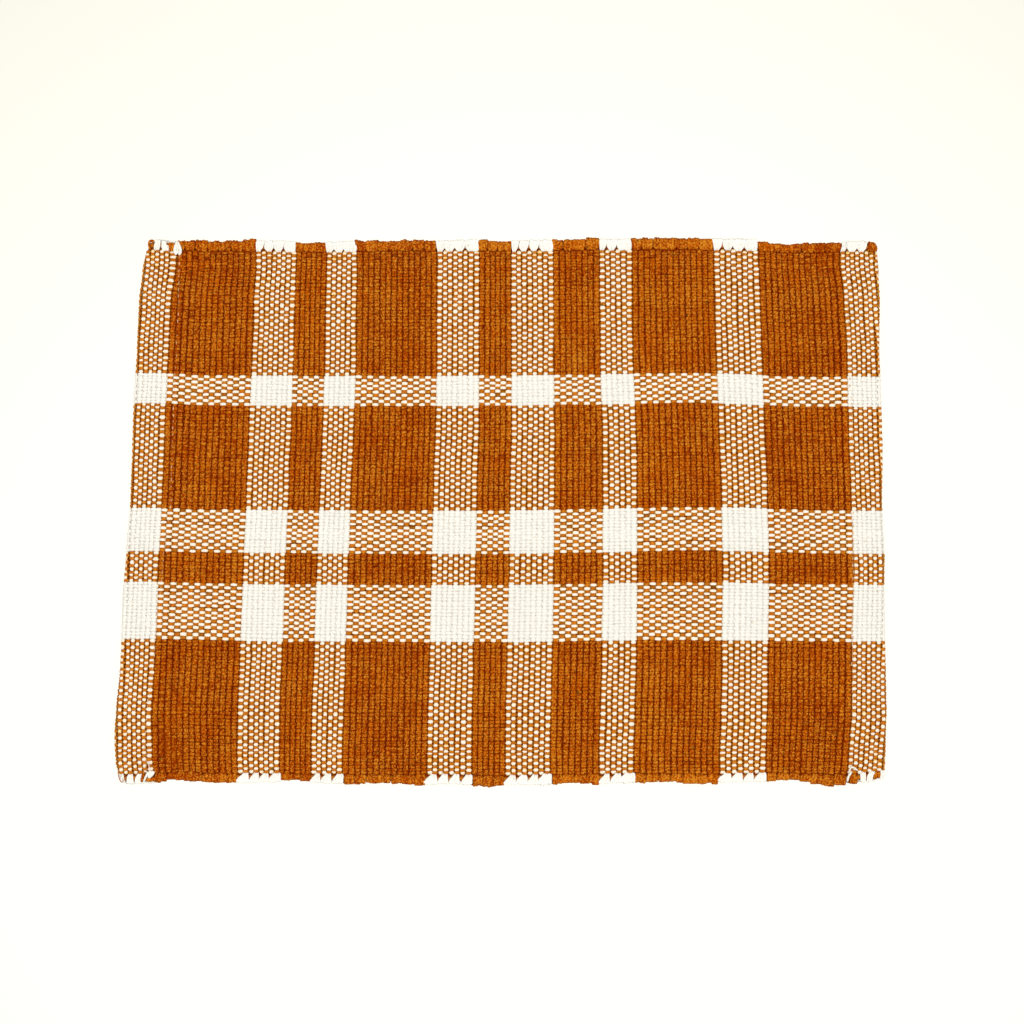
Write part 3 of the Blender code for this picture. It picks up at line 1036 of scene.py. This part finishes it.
# Loose strands at the corners, each a line of points (x, y, z) in the mat's own frame
LOOSE_COLUMNS = ("yarn", "width", "points")
LOOSE_ROWS = (
    # far left: a loop round the fold, the carried yarn, a knotted pick's end, and a proud turn beside it
    ("rust", 1.25, ((-214.0, 158.5, 5.7), (-214.8, 160.4, 6.0), (-215.3, 162.7, 5.8), (-214.8, 164.3, 5.2), (-213.6, 165.0, 4.9), (-212.3, 164.4, 5.2), (-211.9, 163.3, 5.6), (-212.7, 162.7, 5.9))),
    ("rust", 1.1, ((-214.6, 163.6, 5.3), (-213.6, 164.1, 5.1), (-212.5, 163.6, 5.3))),
    ("rust", 1.5, ((-202.1, 157.7, 5.4), (-202.1, 160.1, 5.8), (-202.3, 162.3, 5.4), (-202.5, 163.4, 4.6))),
    ("rust", 1.5, ((-201.0, 157.8, 5.4), (-201.0, 160.0, 5.9), (-201.2, 162.2, 5.5), (-201.4, 163.3, 4.6))),
    ("rust", 1.5, ((-200.0, 158.0, 5.4), (-199.9, 160.1, 5.8), (-200.1, 161.9, 5.4), (-200.3, 163.0, 4.6))),
    ("cream", 1.8, ((-198.2, 164.0, 4.6), (-198.4, 161.9, 5.8), (-199.1, 159.3, 6.5), (-199.0, 156.9, 6.5), (-197.7, 155.4, 6.1))),
    ("cream", 1.8, ((-197.6, 164.0, 4.6), (-196.8, 161.9, 5.9), (-195.6, 159.2, 6.6), (-195.4, 157.0, 6.6), (-196.7, 155.2, 6.2))),
    ("cream", 1.8, ((-197.7, 162.7, 5.2), (-197.4, 159.7, 6.1), (-197.3, 156.1, 6.2))),
    ("rust", 1.3, ((-195.9, 159.8, 5.6), (-196.1, 162.2, 5.8), (-195.8, 164.0, 5.0), (-194.9, 162.9, 5.7), (-194.5, 160.4, 5.6))),
    # near left: a thin thread round the outermost turn, and the last turn drawn out to the left
    ("rust", 0.45, ((-229.5, -157.3, 5.9), (-229.0, -160.0, 6.1), (-228.5, -162.8, 5.4), (-227.6, -164.6, 4.4), (-226.1, -163.8, 5.3), (-224.9, -161.4, 6.1), (-224.5, -158.9, 6.1))),
    ("rust", 1.7, ((-213.5, -157.6, 5.8), (-214.0, -159.8, 6.2), (-214.7, -162.1, 5.9), (-215.5, -163.9, 4.6))),
    ("cream", 1.3, ((-210.9, -157.5, 6.2), (-211.8, -159.4, 6.5), (-212.9, -161.5, 6.2), (-214.0, -163.7, 4.9))),
    ("cream", 2.1, ((-207.9, -157.2, 6.0), (-208.4, -158.8, 6.5), (-209.7, -160.2, 6.4), (-211.3, -161.1, 5.9))),
    ("cream", 1.8, ((-209.4, -157.1, 6.0), (-210.2, -158.4, 6.5), (-211.4, -160.0, 6.4))),
    ("rust", 2.6, ((-212.4, -162.4, 5.4), (-210.6, -162.6, 5.7), (-208.5, -162.3, 5.7), (-206.2, -161.5, 5.6))),
    ("cream", 0.35, ((-211.7, -153.0, 6.1), (-211.1, -151.7, 6.4), (-210.4, -151.8, 6.4), (-210.7, -153.4, 6.4), (-210.4, -155.6, 6.4), (-210.3, -157.6, 6.2))),
    # near right: a strand and a curl round the carried yarn, and the outermost turn
    ("cream", 1.4, ((208.1, -163.8, 4.6), (208.2, -161.5, 6.0), (209.0, -159.4, 6.5), (210.3, -158.0, 6.6))),
    ("cream", 0.95, ((208.8, -157.7, 6.4), (209.5, -155.6, 6.6), (210.9, -154.7, 6.6), (212.4, -155.6, 6.6), (214.1, -157.1, 6.4))),
    ("cream", 1.5, ((228.5, -156.6, 5.3), (228.6, -158.8, 5.6), (228.4, -161.1, 5.1), (228.0, -162.6, 4.2))),
    ("cream", 1.5, ((229.9, -156.9, 5.0), (229.9, -158.7, 5.2), (229.5, -160.4, 4.8), (228.9, -162.1, 4.0))),
)
LOOSE_RINGS = 14


def build_loose_strands():
    made = []
    for kind, material in (("rust", RUST), ("cream", CREAM_TURNS)):
        rows = [row for row in LOOSE_ROWS if row[LOOSE_COLUMNS.index("yarn")] == kind]
        piece = Piece(f"corner_strands_{kind}", material, len(rows))
        for _, width, points in rows:
            corners = np.array(points)
            length = np.concatenate([[0.0], np.cumsum(np.linalg.norm(np.diff(corners, axis=0), axis=1))])
            # rounded: each coordinate is taken along the line and then averaged over its neighbours
            steps = np.linspace(0.0, length[-1], LOOSE_RINGS)
            reach = 0.12 * length[-1]
            centre = sum(
                np.stack([np.interp(np.clip(steps + d * reach, 0.0, length[-1]), length, corners[:, k]) for k in range(3)], axis=1)
                for d in (-0.7, 0.0, 0.7)
            ) / 3.0
            upwards = np.tile((0.0, 0.0, 1.0), (LOOSE_RINGS, 1))
            taper = np.concatenate([[0.7, 0.9], np.ones(LOOSE_RINGS - 4), [0.9, 0.7]])
            thick = min(width, 1.1)
            lift = np.full(LOOSE_RINGS, 0.85)
            piece.tube(centre, upwards, width * taper, thick * taper, FIVE_SIDES, lift, 0.1 * rng.standard_normal(), stain=1.0, rim=0.25)
        made.append(piece.build())
    return made


# ---------------------------------------------------------------- hem stitching


def build_stitches():
    piece = Piece("hem_stitching", THREAD, 400)
    for side in ("left", "right"):
        y = 156.0
        while y > -156.0:
            length = 2.9 + 0.35 * rng.standard_normal()
            t = np.array([0.0, 0.12, 0.35, 0.65, 0.88, 1.0])
            lift = np.array([0.0, 0.75, 1.12, 1.12, 0.75, 0.0]) + 0.12 * rng.standard_normal()
            ys = y - t * length
            xs = eased(ys, STITCH_ROWS, STITCH_COLUMNS, side) + 0.18 * rng.standard_normal()
            middle, normal = ribbon(xs, ys)
            centre = middle + normal * lift[:, None]
            piece.tube(centre, normal, 0.62, 0.42, FOUR_SIDES, np.full(6, 1.3), tone=0.3 * rng.standard_normal())
            y -= length + 1.1
    return piece.build()


# ---------------------------------------------------------------- the closed sheet inside the weave

CORE_HALF = 0.2


def core_material(name, shade):
    material, nodes, links, shader = new_material(name)
    where = nodes.new("ShaderNodeTexCoord")
    grain = nodes.new("ShaderNodeTexNoise")
    grain.inputs["Scale"].default_value = 900.0
    links.new(where.outputs["Object"], grain.inputs["Vector"])
    mix = nodes.new("ShaderNodeMix")
    mix.data_type = "RGBA"
    sockets = [s for s in mix.inputs if s.type == "RGBA"]
    sockets[0].default_value = (*[0.8 * c for c in shade], 1.0)
    sockets[1].default_value = (*shade, 1.0)
    links.new(grain.outputs["Fac"], mix.inputs[0])
    links.new([s for s in mix.outputs if s.type == "RGBA"][0], shader.inputs["Base Color"])
    shader.inputs["Roughness"].default_value = 0.95
    shader.inputs["Specular IOR Level"].default_value = 0.0
    return material


def build_core():
    """A thin closed sheet along the cloth's middle, folded with it. It shows only in the gaps between yarns, where its
    colour is painted shade: dark, and pale where cream crosses cream.
    """
    bounds = np.concatenate([PICK_Q - 0.5 * PICK_PITCH, [PICK_Q[-1] + 0.5 * PICK_PITCH[-1]]])
    cuts = {0, PICKS}
    total = 0
    for row in STRIPE_ROWS:
        cuts.update((total, total + row[1] // 2))
        total += row[1]
    cuts.update(range(0, 22))
    cuts.update(range(PICKS - 21, PICKS + 1))
    s_cuts = np.array(sorted(cuts), float)
    s_fine = np.unique(np.concatenate([s_cuts] + [s_cuts[(s_cuts < 12) | (s_cuts > PICKS - 12)] + d for d in (-0.66, -0.33, 0.33, 0.66)]))
    s_fine = s_fine[(s_fine >= 0) & (s_fine <= PICKS)]
    q_ref = np.interp(s_fine, np.arange(PICKS + 1), bounds)
    r_cuts = [0]
    for row in BAND_ROWS:
        for part in (0.5, 1.0):
            r_cuts.append(int(r_cuts[-1] + row[1] * 0.5))
    edges = np.concatenate([[END_Y[1] + 0.5 * END_PITCH[1]], END_Y[1:-1] - 0.5 * END_PITCH[1:-1]])
    y_ref = np.concatenate([[FAR_CORD_Y], edges[r_cuts], [NEAR_CORD_Y]])
    r_names = [-1] + r_cuts + [ENDS]
    band_of = []
    for a, b in zip(r_names, r_names[1:]):
        middle = int(np.clip(0.5 * (a + b), 0, ENDS - 3)) + 1
        band_of.append(END_YARN[middle])
    yy = np.repeat(y_ref[:, None], len(q_ref), axis=1)
    for _ in range(3):
        qq = q_ref[None, :] + lean(np.broadcast_to(q_ref[None, :], yy.shape), yy)
        yy = y_ref[:, None] + wave(ribbon(qq, yy)[0][..., 0] - SHIFT_X, y_ref[:, None])
    middle, normal = ribbon(qq, yy)
    top = (middle + CORE_HALF * normal) * MM
    bottom = (middle - CORE_HALF * normal) * MM
    rows, columns = qq.shape
    vertices = np.concatenate([top.reshape(-1, 3), bottom.reshape(-1, 3)])
    low = rows * columns

    def at(r, c):
        return r * columns + c

    faces, shades = [], []
    for r in range(rows - 1):
        for c in range(columns - 1):
            pick = int(np.clip(0.5 * (s_fine[c] + s_fine[c + 1]), 0, PICKS - 1))
            shade = 1 if PICK_YARN[pick] == "cream" and band_of[r] == "cream" else 0
            faces.append((at(r, c), at(r + 1, c), at(r + 1, c + 1), at(r, c + 1)))
            faces.append((low + at(r, c), low + at(r, c + 1), low + at(r + 1, c + 1), low + at(r + 1, c)))
            shades += [shade, shade]
    for r in range(rows - 1):
        faces.append((at(r, 0), low + at(r, 0), low + at(r + 1, 0), at(r + 1, 0)))
        e = columns - 1
        faces.append((at(r, e), at(r + 1, e), low + at(r + 1, e), low + at(r, e)))
        shades += [0, 0]
    for c in range(columns - 1):
        faces.append((at(0, c), at(0, c + 1), low + at(0, c + 1), low + at(0, c)))
        e = rows - 1
        faces.append((at(e, c), low + at(e, c), low + at(e, c + 1), at(e, c + 1)))
        shades += [0, 0]
    mesh = bpy.data.meshes.new("cloth_core")
    mesh.from_pydata(vertices.tolist(), [], faces)
    mesh.materials.append(core_material("rust_shadow", (0.19, 0.022, 0.0)))
    mesh.materials.append(core_material("cream_shadow", (0.68, 0.63, 0.56)))
    mesh.polygons.foreach_set("material_index", np.array(shades, dtype=np.int32))
    mesh.update()
    mesh.validate()
    mesh.shade_smooth()
    mesh.set_sharp_from_angle(angle=math.radians(50.0))
    layer = mesh.uv_layers.new(name="OFBake")
    place = np.zeros((len(mesh.loops), 2), np.float32)
    for polygon in mesh.polygons:
        for loop in polygon.loop_indices:
            v = mesh.loops[loop].vertex_index
            under = v >= low
            r, c = divmod(v - low if under else v, columns)
            place[loop] = (0.01 + 0.98 * c / (columns - 1), (0.01 + 0.46 * r / (rows - 1)) + (0.52 if under else 0.0))
    layer.data.foreach_set("uv", place.ravel())
    core = bpy.data.objects.new("cloth_core", mesh)
    bpy.context.scene.collection.objects.link(core)
    length = np.linalg.norm(np.diff(middle[rows // 2], axis=0), axis=1).sum()
    height = abs(yy[0, columns // 2] - yy[-1, columns // 2])
    return core, (length * MM, height * MM)


# ---------------------------------------------------------------- put together

core, flat_size = build_core()
yarns = build_warp() + build_weft() + [build_cords()] + build_turns() + build_loose_strands() + [build_stitches()]
for piece in [core] + yarns:
    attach(piece, "root")
    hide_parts("placemat_cloth")

# ---------------------------------------------------------------- floor, light and camera


def build_floor():
    mesh = bpy.data.meshes.new("floor")
    size = 30.0
    mesh.from_pydata([(-size, -size, 0), (size, -size, 0), (size, size, 0), (-size, size, 0)], [], [(0, 1, 2, 3)])
    floor = bpy.data.objects.new("floor", mesh)
    floor.location = (0.0, 0.0, -0.00005)
    bpy.context.scene.collection.objects.link(floor)
    material, nodes, links, shader = new_material("pale_floor")
    shader.inputs["Base Color"].default_value = (0.10, 0.098, 0.09, 1.0)
    shader.inputs["Roughness"].default_value = 0.9
    shader.inputs["Specular IOR Level"].default_value = 0.1
    # the floor glows with painted light, which gives most of its brightness, so little shadow shows on it; the glow
    # dims away from the mat like a pool of light
    where = nodes.new("ShaderNodeTexCoord")
    away = nodes.new("ShaderNodeVectorMath")
    away.operation = "DISTANCE"
    links.new(where.outputs["Object"], away.inputs[0])
    away.inputs[1].default_value = (0.02, -0.12, 0.0)
    dimming = nodes.new("ShaderNodeMapRange")
    dimming.inputs["From Min"].default_value = 0.33
    dimming.inputs["From Max"].default_value = 0.55
    dimming.inputs["To Max"].default_value = 0.16
    links.new(away.outputs["Value"], dimming.inputs["Value"])
    glow = nodes.new("ShaderNodeMix")
    glow.data_type = "RGBA"
    links.new(dimming.outputs["Result"], glow.inputs[0])
    sockets = [s for s in glow.inputs if s.type == "RGBA"]
    sockets[0].default_value = (1.0, 0.97, 0.865, 1.0)
    sockets[1].default_value = (0.0, 0.0, 0.0, 1.0)
    links.new([s for s in glow.outputs if s.type == "RGBA"][0], shader.inputs["Emission Color"])
    shader.inputs["Emission Strength"].default_value = 1.0
    mesh.materials.append(material)
    return floor


def area_light(name, place, size, power, aim=(0.0, 0.0, 0.0)):
    data = bpy.data.lights.new(name, "AREA")
    data.shape = "DISK"
    data.size = size
    data.energy = power
    lamp = bpy.data.objects.new(name, data)
    lamp.location = place
    lamp.rotation_euler = (Vector(aim) - Vector(place)).to_track_quat("-Z", "Y").to_euler()
    bpy.context.scene.collection.objects.link(lamp)
    return lamp


build_floor()
area_light("soft_left", (-0.38, -0.02, 1.0), 1.0, 4.2)
area_light("soft_right", (0.38, -0.02, 1.0), 1.0, 4.2)

world = bpy.data.worlds.new("studio")
world.use_nodes = True
world.node_tree.nodes["Background"].inputs["Color"].default_value = (1.0, 1.0, 0.985, 1.0)
world.node_tree.nodes["Background"].inputs["Strength"].default_value = 0.78
bpy.context.scene.world = world

camera_data = bpy.data.cameras.new("camera")
camera_data.lens = 50.0
camera_data.sensor_width = 36.0
camera = bpy.data.objects.new("camera", camera_data)
camera.location = (0.006897, -0.046879, 0.865402)
camera.rotation_euler = (math.radians(3.0), 0.0, 0.0)
bpy.context.scene.collection.objects.link(camera)
bpy.context.scene.camera = camera
bpy.context.scene.view_settings.view_transform = "Standard"
bpy.context.scene.view_settings.look = "None"
